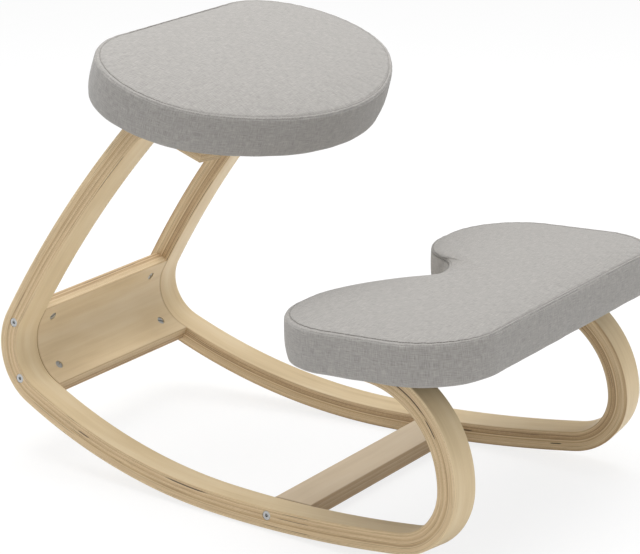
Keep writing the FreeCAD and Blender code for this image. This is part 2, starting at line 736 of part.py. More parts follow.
right_runner = cut("right_runner", eased_strip, runner_holes)
nodes.update({
    "right_runner": right_runner,
    "left_runner": mirror("left_runner", right_runner),
    "rear_plate": rear_plate,
    "front_crossbar": front_crossbar,
    "rear_plate_bolts": rear_plate_bolts,
    "rear_plate_barrel_nuts": rear_plate_barrel_nuts,
    "crossbar_bolts": crossbar_bolts,
    "crossbar_barrel_nuts": crossbar_barrel_nuts,
    "crossbar_dowels": crossbar_dowels,
})
doc.recompute()

# Check every object before anything is written
for item in doc.Objects:
    faults = [state for state in item.State if state in ("Invalid", "Error")]
    if faults:
        raise RuntimeError(f"{item.Label}: {faults}")
for label, item in nodes.items():
    if item.Shape.isNull() or not item.Shape.isValid() or not item.Shape.Solids:
        raise RuntimeError(f"{label} has no valid solid")

os.makedirs("parts", exist_ok=True)
whole = FreeCAD.BoundBox()
for label, item in sorted(nodes.items()):
    whole.add(item.Shape.BoundBox)
    item.Shape.exportStep(f"parts/{label}.step")
    print(label, len(item.Shape.Solids), "solids", round(item.Shape.Volume / 1000, 2), "cm3")
print("overall", whole, "rest point", centring.Base.y)
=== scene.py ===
import math

import bmesh
import bpy
import numpy as np
from mathutils import Matrix, Vector


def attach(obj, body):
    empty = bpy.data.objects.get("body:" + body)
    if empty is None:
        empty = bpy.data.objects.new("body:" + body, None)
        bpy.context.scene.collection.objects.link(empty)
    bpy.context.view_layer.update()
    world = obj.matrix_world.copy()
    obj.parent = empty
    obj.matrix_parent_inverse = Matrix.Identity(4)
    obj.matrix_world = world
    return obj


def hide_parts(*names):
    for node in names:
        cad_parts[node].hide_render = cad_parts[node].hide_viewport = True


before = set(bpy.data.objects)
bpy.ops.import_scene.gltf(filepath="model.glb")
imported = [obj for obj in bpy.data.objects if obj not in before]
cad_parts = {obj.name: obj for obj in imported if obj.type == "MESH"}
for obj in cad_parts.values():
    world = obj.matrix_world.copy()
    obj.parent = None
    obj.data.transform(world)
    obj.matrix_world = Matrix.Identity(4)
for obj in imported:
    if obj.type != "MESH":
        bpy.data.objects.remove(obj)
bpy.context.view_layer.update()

# Runners
# Two strips of bent birch ply, glued up from thin veneers in a mould, each in one piece from the seat to the
# knee pad. They splay to the front and lean to each other at the top. Their sides are counterbored for the
# bolts, and the rails under the cushions are planed flat. The frame is sanded and clear lacquered.

MM = 0.001
PLY_PITCH = 1.55 * MM
# Open glue lines: on the left runner or not, on its outer side or not, where along it, how long and how deep.
CRACKS = [(1, 1, 1322, 96, 10.5), (1, 1, 1300, 30, 12.1), (1, 1, 778, 74, 20.6), (1, 1, 640, 22, 15.6),
          (0, 0, 962, 26, 15.4), (0, 0, 1088, 18, 9.3), (0, 0, 1462, 34, 10.9), (0, 1, 820, 60, 6.4),
          (1, 0, 1010, 40, 13.9), (0, 1, 1340, 70, 14.1)]


class Wire:
    """A shader socket that can be used in sums."""

    def __init__(self, finish, socket):
        self.finish = finish
        self.socket = socket

    def math(self, operation, *others):
        return self.finish.node("Math", {"operation": operation}, dict(enumerate((self,) + others)))

    def __add__(self, other):
        return self.math("ADD", other)

    def __sub__(self, other):
        return self.math("SUBTRACT", other)

    def __mul__(self, other):
        return self.math("MULTIPLY", other)

    def __truediv__(self, other):
        return self.math("DIVIDE", other)

    def __rsub__(self, other):
        return self.finish.node("Math", {"operation": "SUBTRACT"}, {0: other, 1: self})

    __radd__ = __add__


class Finish:
    """A node material with one Principled shader."""

    def __init__(self, name, **shader):
        self.material = bpy.data.materials.new(name)
        self.material.use_nodes = True
        self.nodes = self.material.node_tree.nodes
        self.links = self.material.node_tree.links
        self.nodes.clear()
        output = self.nodes.new("ShaderNodeOutputMaterial")
        self.shader = self.nodes.new("ShaderNodeBsdfPrincipled")
        self.links.new(self.shader.outputs[0], output.inputs[0])
        for socket, value in shader.items():
            self.put(self.shader, socket.replace("_", " ").title(), value)

    def put(self, node, socket, value):
        target = node.inputs[socket]
        if isinstance(value, Wire):
            self.links.new(value.socket, target)
        elif target.type == "RGBA" and len(value) == 3:
            target.default_value = (*value, 1)
        else:
            target.default_value = value

    def node(self, kind, settings, inputs, output=0):
        """Make a node from its type, its settings and its inputs, and give one of its outputs."""
        node = self.nodes.new("ShaderNode" + kind)
        for name, value in settings.items():
            if name == "stops":
                stops = node.color_ramp.elements
                for number, (place, colour) in enumerate(value):
                    stop = stops[number] if number < 2 else stops.new(place)
                    stop.position = place
                    stop.color = (*colour, 1)
            else:
                setattr(node, name, value)
        for socket, value in inputs.items():
            self.put(node, socket, value)
        return Wire(self, node.outputs[output])

    def attribute(self, name):
        """Read a vector of the mesh, and give its three parts."""
        vector = self.node("Attribute", {"attribute_name": name}, {}, "Vector")
        return [self.node("SeparateXYZ", {}, {0: vector}, part) for part in "XYZ"]

    def vector(self, x, y, z):
        return self.node("CombineXYZ", {}, {0: x, 1: y, 2: z})

    def noise(self, vector, scale=1.0, detail=2, roughness=0.5):
        return self.node("TexNoise", {}, {"Vector": vector, "Scale": scale, "Detail": detail,
                                          "Roughness": roughness})

    def step(self, value, low, high):
        """Go from 0 to 1 between two values."""
        return self.node("MapRange", {"interpolation_type": "SMOOTHSTEP"},
                         {"Value": value, "From Min": low, "From Max": high})

    def blend(self, amount, first, second):
        """Mix two colours."""
        return self.node("Mix", {"data_type": "RGBA"}, {0: amount, 6: first, 7: second}, 2)

    def chance(self, number, seed):
        """Give each whole number its own random value."""
        return self.node("TexWhiteNoise", {"noise_dimensions": "2D"},
                         {"Vector": self.vector(number, seed, 0)})

    def ramp(self, amount, *stops):
        """Give the colour at a place between stops. The first two stops are the outer ones."""
        return self.node("ValToRGB", {"stops": stops}, {0: amount})

    def bump(self, height, strength, distance):
        relief = self.node("Bump", {}, {"Strength": strength, "Distance": distance, "Height": height})
        self.put(self.shader, "Normal", relief)


def paint(red, green, blue):
    """A colour as a screen shows it, from 0 to 255, made linear."""
    parts = [value / 255 for value in (red, green, blue)]
    return tuple(part / 12.92 if part <= 0.04045 else ((part + 0.055) / 1.055) ** 2.4 for part in parts)


def birch_finish():
    """Veneer grain on the faces, and the veneers' edges with glue lines where the ply is cut."""
    birch = Finish("birch ply", roughness=0.5, coat_weight=0.12, coat_roughness=0.35)
    along, across, depth = birch.attribute("ply")
    edge, seed, bar = birch.attribute("cut")
    grain_place = birch.vector(along * 3, across * 60 + seed * 9, depth * 40)
    figure = birch.noise(grain_place, 1.6, 5, 0.62)
    fine = birch.noise(birch.vector(along * 20, across * 900 + seed * 5, depth * 90), 1.0, 3, 0.6)
    cloud = birch.noise(birch.vector(along * 7, across * 18, seed * 3), 1.2)
    face = birch.ramp(figure * 0.55 + cloud * 0.45, (0.25, paint(206, 180, 136)),
                      (0.75, paint(237, 219, 185)), (0.5, paint(225, 202, 161)))
    face = birch.blend(birch.step(fine, 0.60, 0.78) * 0.22, face, paint(186, 152, 108))
    face = birch.blend(bar * 0.45, face, paint(212, 196, 180))
    wander = birch.noise(birch.vector(along * 5, seed, depth * 20))
    ply = depth / PLY_PITCH + (wander - 0.5) * 0.35
    number = ply.math("FLOOR")
    inside = ply - number
    tone = birch.chance(number, seed)
    fibre = birch.noise(birch.vector(along * 22, ply * 2.6, seed * 4), 1.0, 5, 0.7)
    shade = birch.ramp(tone * 0.42 + fibre * 0.62, (0.2, paint(152, 120, 84)), (0.78, paint(234, 213, 174)),
                       (0.46, paint(201, 171, 129)))
    line_number = (ply + 0.5).math("FLOOR")
    line = birch.chance(line_number, seed + 3.1)
    from_line = 0.5 - (inside - 0.5).math("ABSOLUTE")
    glue = 1 - birch.step(from_line, 0.0, 0.14 + birch.step(line, 0.62, 0.64) * 0.2)
    patchy = birch.noise(birch.vector(along * 9, number * 3, seed * 7), 1.0, 3, 0.6)
    shade = birch.blend(glue * birch.step(patchy, 0.38, 0.66) * 0.8, shade, paint(116, 84, 54))
    gap_place = birch.noise(birch.vector(along * 6.5, line_number * 5.3, seed * 11))
    gap = glue * birch.step(gap_place, 0.635, 0.665)
    shade = birch.blend(gap * 0.9, shade, paint(52, 36, 24))
    wobble = (birch.noise(birch.vector(along * 40, seed, 1)) - 0.5) * 1.1 * MM
    left = birch.step(seed, 0.50, 0.51)
    outside = birch.step(across, 0.018, 0.019)
    for on_left, on_outside, start, length, into in CRACKS:
        which = (left if on_left else 1 - left) * (outside if on_outside else 1 - outside)
        middle = (start + length / 2) * MM
        taper = 1 - birch.step((along - middle).math("ABSOLUTE"), 0.25 * length * MM, 0.5 * length * MM)
        off = (depth - into * MM + wobble).math("ABSOLUTE") / (taper * 0.85 * MM + 0.02 * MM)
        crack = (1 - birch.step(off, 0.55, 1.0)) * which * (1 - bar)
        shade = birch.blend(crack * 0.92, shade, paint(46, 32, 22))
    shade = birch.blend(bar * 0.5, shade, paint(156, 132, 108))
    birch.put(birch.shader, "Base Color", birch.blend(edge, face, shade))
    birch.put(birch.shader, "Roughness", 0.46 + fine * 0.14 + edge * 0.12)
    birch.bump(fine * 0.25 + edge * (fibre * 0.35 - glue * 0.4 - gap * 1.2), 0.35, 0.3 * MM)
    return birch.material


birch_ply = birch_finish()


# The side view is a path of tangent arcs, from the free end under the seat, down the leg, along the floor and
# up to the knee pad. Each arc has a name, a radius in millimetres and a turn in degrees. A row of the path
# has a place (y, z) on the strip's convex face and the direction out of it.

ROCKER, TAIL, REAR_BEND, LEG = 1590, 720, 75, 1380
TAIL_TURN, REAR_BEND_TURN = 23.8, 94.1
REAR_PATH = [("rocker", ROCKER, 1.2), ("tail", TAIL, TAIL_TURN), ("rear bend", REAR_BEND, REAR_BEND_TURN),
             ("leg", LEG, 12.7), ("seat bend", 60, 64.5)]
SEAT_TILT, SEAT_RAIL, SEAT_AHEAD = 16.3, 60, 7
FRONT_PATH = [("rocker", ROCKER, 8.3), ("front bend", 79, 84.5), ("upper front", 130, 89.9)]
KNEE_TILT, KNEE_RAIL, KNEE_AHEAD = -2.7, 74, 49
STRIP_WIDTH, STRIP_THICKNESS, STRIP_EDGE = 37.5, 24.5, 1.5
SPLAY, LEAN, RUNNER_GAP = math.radians(4.3), math.radians(3.7), 313
REST_Y = -26.122
HOLLOW_BEND, HOLLOW_TAIL, HOLLOW_LEG = (radius - STRIP_THICKNESS for radius in (REAR_BEND, TAIL, LEG))


def toward(degrees):
    """The direction at an angle."""
    return np.array((math.cos(math.radians(degrees)), math.sin(math.radians(degrees))))


def walk(heading, side, arcs, straight, step_turn=3.0, step_length=14.0):
    """Sample a path of tangent arcs: rows of y, z, out y, out z, and the centre of each named arc."""
    point = np.zeros(2)
    rows = [(*point, *toward(heading - 90 * side))]
    centres = {}
    for name, radius, turn in arcs:
        centre = point + toward(heading + 90 * side) * radius
        centres[name] = centre
        count = max(math.ceil(turn / step_turn), math.ceil(radius * math.radians(turn) / step_length))
        for number in range(1, count + 1):
            out = toward(heading + side * (turn * number / count - 90))
            rows.append((*(centre + out * radius), *out))
        heading += side * turn
        point = np.array(rows[-1][:2])
    ahead = toward(heading)
    lengths = [straight * share for share in (0.2, 0.4, 0.6, 0.8)] + [straight - 0.8, straight]
    rows += [(*(point + ahead * length), *rows[-1][2:]) for length in lengths]
    return rows, centres, point, ahead


rear_rows, rear_centres, seat_rail_start, seat_ahead = walk(0, 1, REAR_PATH, SEAT_RAIL)
front_rows, _, knee_rail_start, knee_ahead = walk(180, -1, FRONT_PATH, KNEE_RAIL)
path_rows = np.array(rear_rows[::-1] + front_rows[1:])
path_steps = np.diff(path_rows[:, :2], axis=0)
path_spans = np.linalg.norm(path_steps, axis=1)
path_lengths = np.concatenate(([0], np.cumsum(path_spans)))

edge_lift = -STRIP_EDGE * (math.sin(LEAN) + math.cos(LEAN) - 1)
runner_turn = Matrix.Rotation(SPLAY, 4, "Z") @ Matrix.Rotation(-LEAN, 4, "Y")
runner_place = Matrix.Translation((RUNNER_GAP / 2, REST_Y, edge_lift)) @ runner_turn
runner_across = (runner_turn @ Vector((1, 0, 0))).normalized()


def on_runner(x, point):
    """A point of the right runner's own space, in millimetres, in the chair's frame."""
    return runner_place @ Vector((x, point[0], point[1]))


def rail_plane(start, ahead, length, tilt, setback):
    """The cushion's underside: it lies on the lowest edge of the rail's top."""
    turn = Matrix.Rotation(math.radians(tilt), 4, "X")
    normal = turn @ Vector((0, 0, 1))
    ends = (start, start + ahead * length)
    level = min(on_runner(x, end).dot(normal) for x in (0, STRIP_WIDTH) for end in ends)
    middle = on_runner(0, start) + turn @ Vector((0, 1, 0)) * -setback
    middle.x = 0
    return Matrix.Translation(middle + normal * (level - middle.dot(normal))) @ turn


seat_place = rail_plane(seat_rail_start, seat_ahead, SEAT_RAIL, SEAT_TILT, SEAT_AHEAD)
knee_place = rail_plane(knee_rail_start, knee_ahead, KNEE_RAIL, KNEE_TILT, KNEE_AHEAD)


BOLT_RECESS, BOLT_RECESS_DEPTH = 11.2, 4
RAIL_RECESS, RAIL_RECESS_DEPTH = 18, 7
PLATE_THICKNESS, PLATE_BOLTS = 18, (25, -44)
BAR_DEPTH, BAR_THICKNESS, BAR_SETBACK, BAR_BOLT = 50, 18, 53, 7
RAIL_BOLTS, PLANED_BLOCK, CUTTER_LENGTH = (15, 45), (260, 300, 50), 60


def placed(name, data):
    """Put a new object into the scene."""
    item = bpy.data.objects.new(name, data)
    bpy.context.scene.collection.objects.link(item)
    return item


def dress(item, finish):
    """Give an object its one material."""
    item.data.materials.clear()
    item.data.materials.append(finish)


def new_piece(name, mesh, finish, slot_name, *nodes):
    """Make a mesh a piece of the chair with its finish and body, and hide the nodes it stands for; slot_name
    is unused.
    """
    piece = placed(name, mesh)
    dress(piece, finish)
    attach(piece, "root")
    if nodes:
        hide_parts(*nodes)
    return piece


def round_bar(length, radius, start, direction, sides=40):
    """A round body, in millimetres."""
    bar = bmesh.new()
    bmesh.ops.create_cone(bar, cap_ends=True, segments=sides, radius1=radius, radius2=radius, depth=length)
    turn = Vector((0, 0, 1)).rotation_difference(direction).to_matrix().to_4x4()
    place = Matrix.Translation(start + direction * length / 2) @ turn
    bmesh.ops.transform(bar, matrix=place, verts=bar.verts)
    return bar


def mesh_of(name, shape):
    """Turn a body into a mesh."""
    mesh = bpy.data.meshes.new(name)
    shape.to_mesh(mesh)
    shape.free()
    return mesh


def evaluated_mesh(item):
    """A new mesh of an object, with its modifiers applied."""
    bpy.context.view_layer.update()
    graph = bpy.context.evaluated_depsgraph_get()
    return bpy.data.meshes.new_from_object(item.evaluated_get(graph))


def cut_away(mesh, cutters):
    """Cut bodies out of a mesh in millimetres, one after the other."""
    target = placed("blank", mesh)
    for cutter in cutters:
        tool = placed("cutter", mesh_of("cutter", cutter))
        change = target.modifiers.new("cut", "BOOLEAN")
        change.operation = "DIFFERENCE"
        change.solver = "EXACT"
        change.object = tool
        result = evaluated_mesh(target)
        target.modifiers.clear()
        target.data = result
        bpy.data.objects.remove(tool)
    mesh = target.data
    bpy.data.objects.remove(target)
    return mesh


def tube_mesh(name, rings):
    """A closed mesh from rings of points, with its first and last ring filled."""
    tube = bmesh.new()
    rings = [[tube.verts.new(point) for point in ring] for ring in rings]
    for one, other in zip(rings, rings[1:]):
        for number in range(len(one)):
            after = (number + 1) % len(one)
            tube.faces.new((one[number], other[number], other[after], one[after]))
    tube.faces.new(rings[0])
    tube.faces.new(rings[-1][::-1])
    bmesh.ops.recalc_face_normals(tube, faces=tube.faces)
    return mesh_of(name, tube)


def rounded_section(width, thickness, radius, steps=4):
    """A rectangle with rounded corners, from x = 0 to the width and depth 0 to the thickness."""
    points = []
    for cx, cd, first in ((width - radius, radius, -90), (width - radius, thickness - radius, 0),
                          (radius, thickness - radius, 90), (radius, radius, 180)):
        points += [np.array((cx, cd)) + toward(first + 90 * step / steps) * radius
                   for step in range(steps + 1)]
    return points


def runner_blank():
    """Sweep the rounded section along the path."""
    section = rounded_section(STRIP_WIDTH, STRIP_THICKNESS, STRIP_EDGE)
    return tube_mesh("runner blank", [[on_runner(x, (y - out_y * depth, z - out_z * depth))
                                       for x, depth in section] for y, z, out_y, out_z in path_rows])


def plate_bolt(angle, depth):
    """A bolt's place in the side view: depth is from the runner's hollow face."""
    return rear_centres["rear bend"] + toward(angle) * (HOLLOW_BEND + depth)


bar_slope = -math.degrees(math.asin(BAR_SETBACK / ROCKER))
bar_up, bar_rearward = toward(90 + bar_slope), toward(bar_slope)
bar_top = np.array((0, ROCKER)) - bar_up * (ROCKER - STRIP_THICKNESS)
side_bolts = [plate_bolt(angle, PLATE_THICKNESS / 2) for angle in PLATE_BOLTS]
side_bolts.append(bar_top - bar_up * BAR_THICKNESS / 2 + bar_rearward * BAR_BOLT)


def rail_cutters(place, start, ahead, length):
    """The plane of the rail's top, and the recesses that the bolts go up through."""
    slab = bmesh.new()
    bmesh.ops.create_cube(slab, size=1)
    box = Matrix.Translation((RUNNER_GAP / 2, 0, PLANED_BLOCK[2] / 2)) @ Matrix.Diagonal((*PLANED_BLOCK, 1))
    bmesh.ops.transform(slab, matrix=place @ box, verts=slab.verts)
    cutters = [slab]
    up = (place.to_3x3() @ Vector((0, 0, 1))).normalized()
    for inset in RAIL_BOLTS:
        spot = on_runner(STRIP_WIDTH / 2, start + ahead * (length - inset))
        spot -= up * up.dot(spot - place.translation)
        floor = spot - up * (STRIP_THICKNESS - RAIL_RECESS_DEPTH)
        cutters.append(round_bar(4 * RAIL_RECESS_DEPTH, RAIL_RECESS / 2, floor, -up))
    return cutters


def smooth_in_metres(mesh, sharpest, kinds=None):
    """Shade a mesh smooth but for sharp edges and where two kinds of face meet, and scale it to metres."""
    shape = bmesh.new()
    shape.from_mesh(mesh)
    for face in shape.faces:
        face.smooth = True
    for line in shape.edges:
        meeting = {kinds[face.index] for face in line.link_faces} if kinds else {0}
        line.smooth = len(meeting) == 1 and line.calc_face_angle(0) < sharpest
    bmesh.ops.scale(shape, vec=(MM, MM, MM), verts=shape.verts)
    shape.to_mesh(mesh)
    shape.free()


def mark_runner(mesh, seed):
    """Give each vertex its place along, across and into the ply, and how far it lies on a cut edge."""
    back = runner_place.inverted()
    ply, cut = (mesh.attributes.new(name, "FLOAT_VECTOR", "POINT") for name in ("ply", "cut"))
    starts = path_rows[:-1, :2]
    places = []
    for vertex in mesh.vertices:
        x, y, z = back @ vertex.co
        share = np.clip(((np.array((y, z)) - starts) * path_steps).sum(1) / path_spans ** 2, 0, 1)
        nearest = starts + path_steps * share[:, None]
        depths = np.linalg.norm(nearest - (y, z), axis=1)
        best = int(depths.argmin())
        length = path_lengths[best] + path_spans[best] * share[best]
        at_side = (abs(x - STRIP_WIDTH / 2) - STRIP_WIDTH / 2 + STRIP_EDGE) / STRIP_EDGE
        at_end = 1 if min(length, path_lengths[-1] - length) < 0.01 else 0
        ply.data[vertex.index].vector = (length * MM, x * MM, depths[best] * MM)
        cut.data[vertex.index].vector = (max(0, min(1, at_side), at_end), seed, 0)
        places.append((x, depths[best]))
    kinds = []
    for face in mesh.polygons:
        values = [places[index] for index in face.vertices]
        on_side = all(abs(abs(x - STRIP_WIDTH / 2) - STRIP_WIDTH / 2) < 0.01 for x, _ in values)
        on_face = all(min(depth, STRIP_THICKNESS - depth) < 0.05 for _, depth in values)
        kinds.append("side" if on_side else "face" if on_face else "edge")
    smooth_in_metres(mesh, 0.6, kinds)


def mirrored(mesh, side):
    """Turn a mesh of the right side into one of the left where the side is -1."""
    if side < 0:
        mesh.transform(Matrix.Diagonal((-1, 1, 1, 1)))
        mesh.flip_normals()
    return mesh


def runner(node, side, seed):
    """Make one runner, cut its recesses and mark its veneers."""
    cutters = []
    for point in side_bolts:
        floor = on_runner(STRIP_WIDTH - BOLT_RECESS_DEPTH, point)
        cutters.append(round_bar(CUTTER_LENGTH, BOLT_RECESS / 2, floor, runner_across))
    cutters += rail_cutters(seat_place, seat_rail_start, seat_ahead, SEAT_RAIL)
    cutters += rail_cutters(knee_place, knee_rail_start, knee_ahead, KNEE_RAIL)
    mesh = cut_away(runner_blank(), cutters)
    mark_runner(mesh, seed)
    new_piece(node + "_ply", mirrored(mesh, side), birch_ply, "birch_ply", node)


runner("right_runner", 1, 0.31)
runner("left_runner", -1, 0.77)


# Rear plate and crossbar
# Both are birch ply, cut square to the floor's run and fitted between the runners, whose inner faces end
# them. The rear plate is bent to the runners' hollow face. Blind holes in both take the barrel nuts.

NUT_INSET, NUT_HOLE, PLATE_HOLE_DEPTH, BAR_HOLE_DEPTH = 24, 10.2, 16, 14.6
PLATE_ABOVE, PLATE_BELOW, PLATE_EASE, BAR_EASE = 14, 8, 1.2, 1.0


def inner_face_x(y, z):
    """How far out the right runner's inner face is, at a height and a place along the chair."""
    origin = on_runner(0, (0, 0))
    return origin.x - ((y - origin.y) * runner_across.y + (z - origin.z) * runner_across.z) / runner_across.x


def between_runners(name, loop, holes, node, seed, grey):
    """A bar of ply from runner to runner. Its closed section has rows of y, z, along, depth and cut."""
    stations = (-1, -0.98, -0.5, 0, 0.5, 0.98, 1)
    mesh = tube_mesh(name, [[(share * inner_face_x(y, z), y, z) for y, z, *_ in loop] for share in stations])
    cutters = []
    for point, outward, length in holes:
        for side in (1, -1):
            start = on_runner(-NUT_INSET, point - outward)
            away = (runner_turn @ Vector((0, *outward))).normalized()
            start.x *= side
            away.x *= side
            cutters.append(round_bar(length + 1, NUT_HOLE / 2, start, away, 32))
    mesh = cut_away(mesh, cutters)
    section = np.array(loop)
    ply, cut = (mesh.attributes.new(name, "FLOAT_VECTOR", "POINT") for name in ("ply", "cut"))
    for vertex in mesh.vertices:
        x, y, z = vertex.co
        nearest = int(np.linalg.norm(section[:, :2] - (y, z), axis=1).argmin())
        along, depth, edge = section[nearest, 2:]
        at_end = 1 if inner_face_x(y, z) - abs(x) < 0.01 else 0
        ply.data[vertex.index].vector = (x * MM, along * MM, depth * MM)
        cut.data[vertex.index].vector = (max(edge, at_end), seed, grey)
    smooth_in_metres(mesh, 0.5)
    new_piece(name, mesh, birch_ply, "birch_ply", node)


def plate_loop():
    """The rear plate's section: its hollow face, its foot, its back and its head."""
    first = sum(turn for _, _, turn in REAR_PATH[:2]) - 90
    last = first + REAR_BEND_TURN
    lower_centre = toward(first) * (HOLLOW_BEND - HOLLOW_TAIL)
    upper_centre = toward(last) * (HOLLOW_BEND - HOLLOW_LEG)
    foot_turn = math.degrees(PLATE_BELOW / HOLLOW_TAIL)
    head_turn = math.degrees(PLATE_ABOVE / HOLLOW_LEG)
    samples = [(lower_centre, HOLLOW_TAIL, first - foot_turn * share) for share in (1, 0.5)]
    samples += [(np.zeros(2), HOLLOW_BEND, first + REAR_BEND_TURN * number / 32) for number in range(33)]
    samples += [(upper_centre, HOLLOW_LEG, last + head_turn * share) for share in (0.5, 1)]
    middle = on_runner(0, rear_centres["rear bend"])
    face, back = [], []
    run = -PLATE_BELOW
    for centre, radius, angle in samples:
        out = toward(angle)
        place = np.array((middle.y, middle.z)) + centre + out * radius
        if face:
            run += np.linalg.norm(place - face[-1][:2])
        face.append((*place, run, 0, 0))
        back.append((*(place + out * PLATE_THICKNESS), run, PLATE_THICKNESS, 0))
    return eased_loop(face, back, PLATE_EASE)


def eased_loop(face, back, ease):
    """Join a face and a back, in the same order, with cut ends whose edges are slightly rounded."""

    def ahead(start, end):
        step = np.array(end) - np.array(start)
        return step / np.linalg.norm(step[:2])

    loop = []
    for side, other in ((face, back[::-1]), (back[::-1], face)):
        first, last = np.array(side[0]), np.array(side[-1])
        loop += round_corner(first, ahead(first, other[-1]), ahead(side[1], first), ease)[::-1]
        loop += [tuple(row) for row in side[1:-1]]
        loop += round_corner(last, ahead(last, other[0]), ahead(side[-2], last), ease)
    return loop


def round_corner(corner, into, ahead, ease):
    """Rows from a face round to the cut edge."""
    rows = []
    for share in (0, 0.33, 0.67, 1):
        angle = share * math.pi / 2
        move = -ahead * ease * (1 - math.sin(angle)) + into * ease * (1 - math.cos(angle))
        row = corner + move
        row[4] = share
        rows.append(tuple(row))
    return rows


def bar_loop():
    """The crossbar's flat section, with its cut edges to the front and the rear."""
    middle = on_runner(0, bar_top)
    top = np.array((middle.y, middle.z))
    shares = (-1, -0.5, 0, 0.5, 1)
    face = [(*(top + bar_rearward * BAR_DEPTH / 2 * share), BAR_DEPTH / 2 * share, 0, 0) for share in shares]
    back = [(y - bar_up[0] * BAR_THICKNESS, z - bar_up[1] * BAR_THICKNESS, along, BAR_THICKNESS, 0)
            for y, z, along, _, _ in face]
    return eased_loop(face, back, BAR_EASE)


plate_nuts = [(plate_bolt(angle, 0), toward(angle), PLATE_HOLE_DEPTH) for angle in PLATE_BOLTS]
between_runners("rear_plate_ply", plate_loop(), plate_nuts, "rear_plate", 0.13, 0.25)
bar_nuts = [(bar_top - bar_up * BAR_THICKNESS + bar_rearward * BAR_BOLT, bar_up, BAR_HOLE_DEPTH)]
between_runners("front_crossbar_ply", bar_loop(), bar_nuts, "front_crossbar", 0.52, 1)


# Bolts, barrel nuts, washers and tee nuts
# Zinc-plated steel, as bought. The rear plate's barrel nuts are turned studs with a slot for the screwdriver,
# pushed into blind holes until they lie just below the hollow face. The rest are the frame's own solids.

NUT_DIAMETER, NUT_LENGTH, NUT_SINK, SLOT_WIDTH, SLOT_DEPTH = 10, 12.5, 0.9, 1.6, 1.5
SLOT_TURN = 35


def zinc_finish():
    zinc = Finish("zinc plate", metallic=1.0, roughness=0.34)
    place = zinc.node("TexCoord", {}, {}, "Object")
    haze = zinc.noise(place, 420, 3)
    zinc.put(zinc.shader, "Base Color", zinc.blend(haze, paint(168, 170, 172), paint(206, 207, 205)))
    zinc.put(zinc.shader, "Roughness", 0.26 + haze * 0.2)
    zinc.bump(zinc.noise(place, 1600, 2), 0.08, 0.1 * MM)
    return zinc.material


zinc_plate = zinc_finish()
for node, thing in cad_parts.items():
    if any(word in node for word in ("bolts", "nuts", "washers")):
        dress(thing, zinc_plate)


def slotted_nut(side, angle):
    """One barrel nut of the rear plate, its slotted end a little below the hollow face."""
    axis_start = on_runner(-NUT_INSET, rear_centres["rear bend"])
    away = (runner_turn @ Vector((0, *toward(angle)))).normalized()
    middle = on_runner(0, rear_centres["rear bend"])
    offset = np.array((axis_start.y - middle.y, axis_start.z - middle.z))
    ahead = np.array((away.y, away.z))
    half, square = offset @ ahead, ahead @ ahead
    face = (-half + math.sqrt(half ** 2 - square * (offset @ offset - HOLLOW_BEND ** 2))) / square
    start = axis_start + away * (face + NUT_SINK)
    mesh = mesh_of("nut", round_bar(NUT_LENGTH, NUT_DIAMETER / 2, start, away))
    across = away.cross(runner_across).normalized()
    turned = Matrix((runner_across, across, away)).transposed().to_4x4()
    slot_tool = bmesh.new()
    bmesh.ops.create_cube(slot_tool, size=1)
    shape = Matrix.Translation(start) @ turned @ Matrix.Rotation(math.radians(SLOT_TURN), 4, "Z")
    shape = shape @ Matrix.Diagonal((NUT_DIAMETER + 4, SLOT_WIDTH, 2 * SLOT_DEPTH, 1))
    bmesh.ops.transform(slot_tool, matrix=shape, verts=slot_tool.verts)
    return mirrored(cut_away(mesh, [slot_tool]), side)


def rear_plate_nuts():
    """The four slotted nuts as one mesh."""
    whole = bmesh.new()
    for side in (1, -1):
        for angle in PLATE_BOLTS:
            whole.from_mesh(slotted_nut(side, angle))
    mesh = mesh_of("rear_plate_nuts", whole)
    smooth_in_metres(mesh, 0.6)
    new_piece("rear_plate_slotted_nuts", mesh, zinc_plate, "zinc_steel", "rear_plate_barrel_nuts")


rear_plate_nuts()


# Boards and dowels
# The cushions' boards are plain birch ply and the crossbar's dowels are beech. The covers and the bar hide
# them. They are the frame's own solids.

def wood_finish():
    wood = Finish("board ply", roughness=0.6)
    place = wood.node("TexCoord", {}, {}, "Object")
    stretched = wood.node("Mapping", {}, {"Vector": place, "Scale": (6, 80, 80)})
    colour = wood.blend(wood.noise(stretched, 1.5, 4), paint(176, 146, 104), paint(204, 176, 134))
    wood.put(wood.shader, "Base Color", colour)
    return wood.material


board_ply = wood_finish()
for node in ("seat_board", "knee_board", "crossbar_dowels"):
    dress(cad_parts[node], board_ply)


# Cushion covers
# Foam pads on ply boards, upholstered in a grey linen weave: a top panel sewn to a boxing strip, with the
# seam turned into a narrow welt and topstitched beside it. The boxing is pulled under the board and stapled.

SIDE_HEIGHT, SEAM_TUCK, BOTTOM_TUCK, SWELL = 44, 1.0, 3.0, 0.45
SEAT_CROWN, KNEE_CROWN = 13, 12
FOOT_LEVEL, FOOT_ROLL, FOOT_LIFT = 0.35, 3.05, 0.9
POINT_SPACING, PRESSURE, PUFF_LIMIT, LAST_FRAME = 6.0, 4, 3.0, 20
WELT_WIDTH, WELT_RISE, STITCH_DROP, SEAM_DROP = 5.5, 0.45, 0.75, 1.5
PUCKER, TUCK, STITCH_RISE = 0.22, 0.5, 0.1
YARN_PITCH = 1.0 * MM


